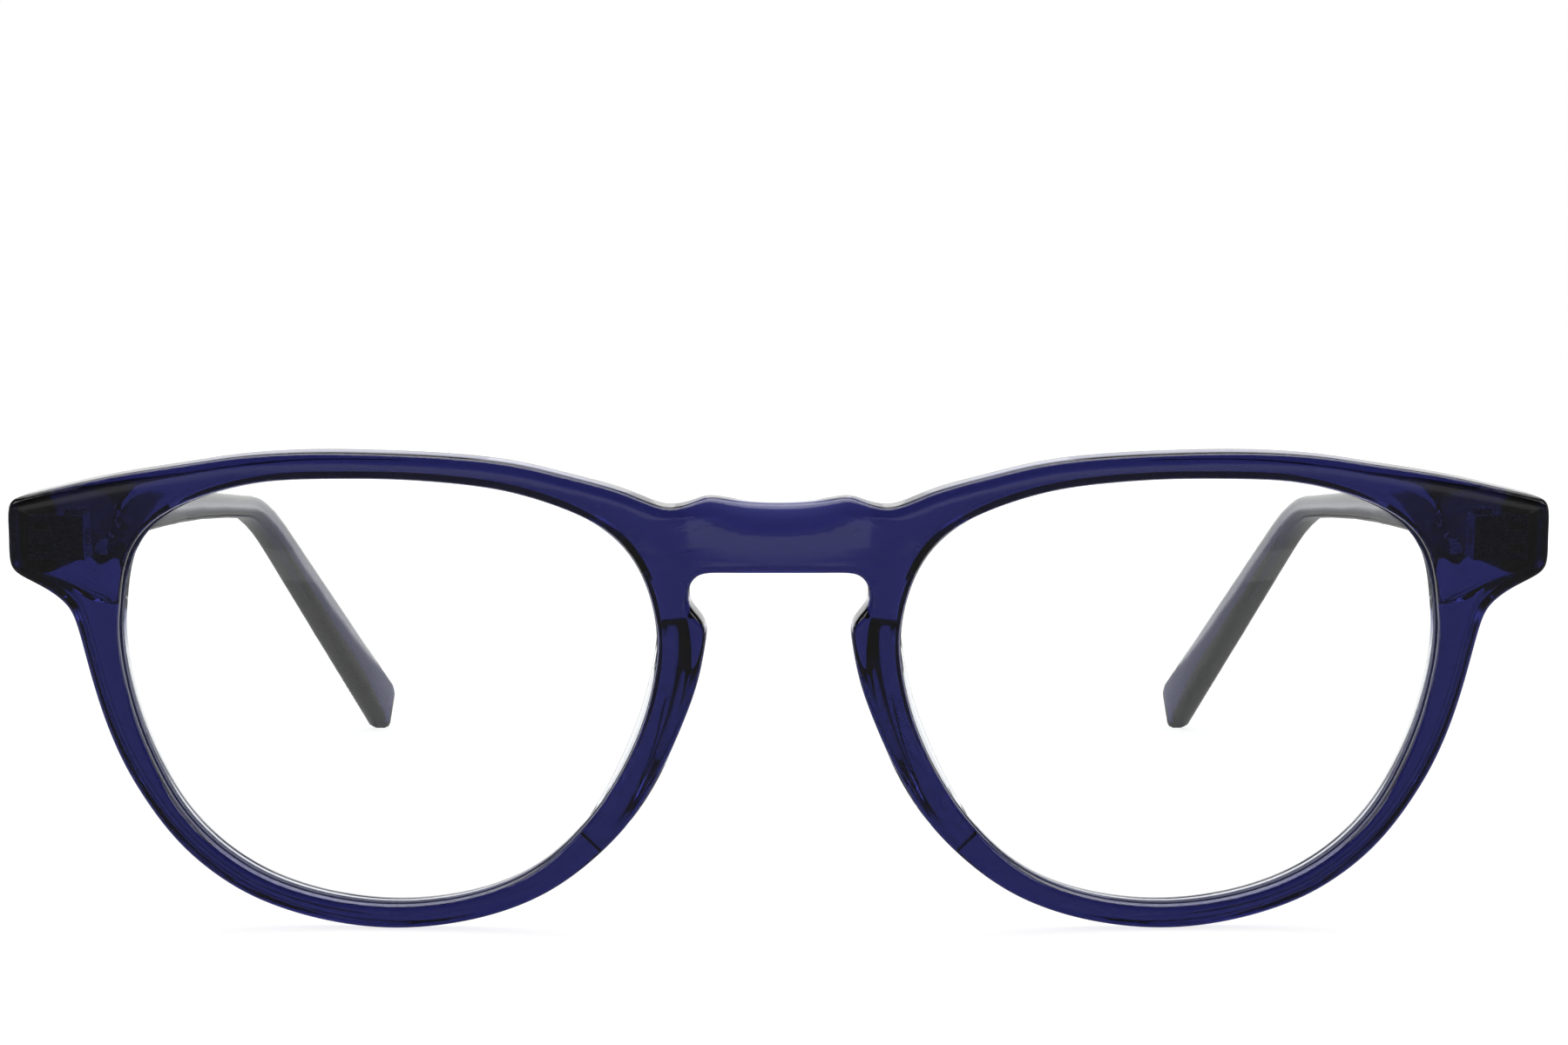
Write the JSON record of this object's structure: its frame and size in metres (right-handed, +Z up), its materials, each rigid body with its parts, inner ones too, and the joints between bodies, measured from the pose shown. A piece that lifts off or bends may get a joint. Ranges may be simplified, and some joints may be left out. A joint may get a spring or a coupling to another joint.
{
  "type": "eyeglasses",
  "caption": "Open keyhole-bridge eyeglasses: navy acetate laminated on crystal, clear lenses, built-in nose pads and folding temples on barrel hinges.",
  "frame": {"origin": "on the table, under the middle of the open glasses' length and width", "axes": "+Z up, -Y out of the front of the lenses, +X towards the wearer's left, temples along +Y"},
  "size_m": [0.1386, 0.1576, 0.0438],
  "materials": {
    "navy_acetate": "polished, transparent navy",
    "crystal_acetate": "polished, clear with a cool grey tint",
    "lens": "clear, coated",
    "hinge_steel": "satin"
  },
  "bodies": {
    "front": {"front_face_layer": "navy_acetate", "front_crystal_layer": "crystal_acetate", "lens_right": "lens", "lens_left": "lens", "nose_pad_right": "crystal_acetate", "nose_pad_left": "crystal_acetate", "hinge_front_leaf_right": "hinge_steel", "hinge_front_leaf_left": "hinge_steel", "hinge_screw_right": "hinge_steel", "hinge_screw_left": "hinge_steel"},
    "temple_right": {"hinge_temple_leaf_right": "hinge_steel", "temple_outer_layer_right": "navy_acetate", "temple_inner_layer_right": "crystal_acetate"},
    "temple_left": {"hinge_temple_leaf_left": "hinge_steel", "temple_outer_layer_left": "navy_acetate", "temple_inner_layer_left": "crystal_acetate"}
  },
  "joints": [
    {"name": "temple_right_fold", "type": "hinge", "parent": "front", "child": "temple_right", "pos_m": [-0.06384, -0.0692, 0.03592], "axis": [0, 0.0958, -0.9954], "range_deg": [0, 81]},
    {"name": "temple_left_fold", "type": "hinge", "parent": "front", "child": "temple_left", "pos_m": [0.06384, -0.0692, 0.03592], "axis": [0, -0.0958, 0.9954], "range_deg": [0, 86]}
  ]
}
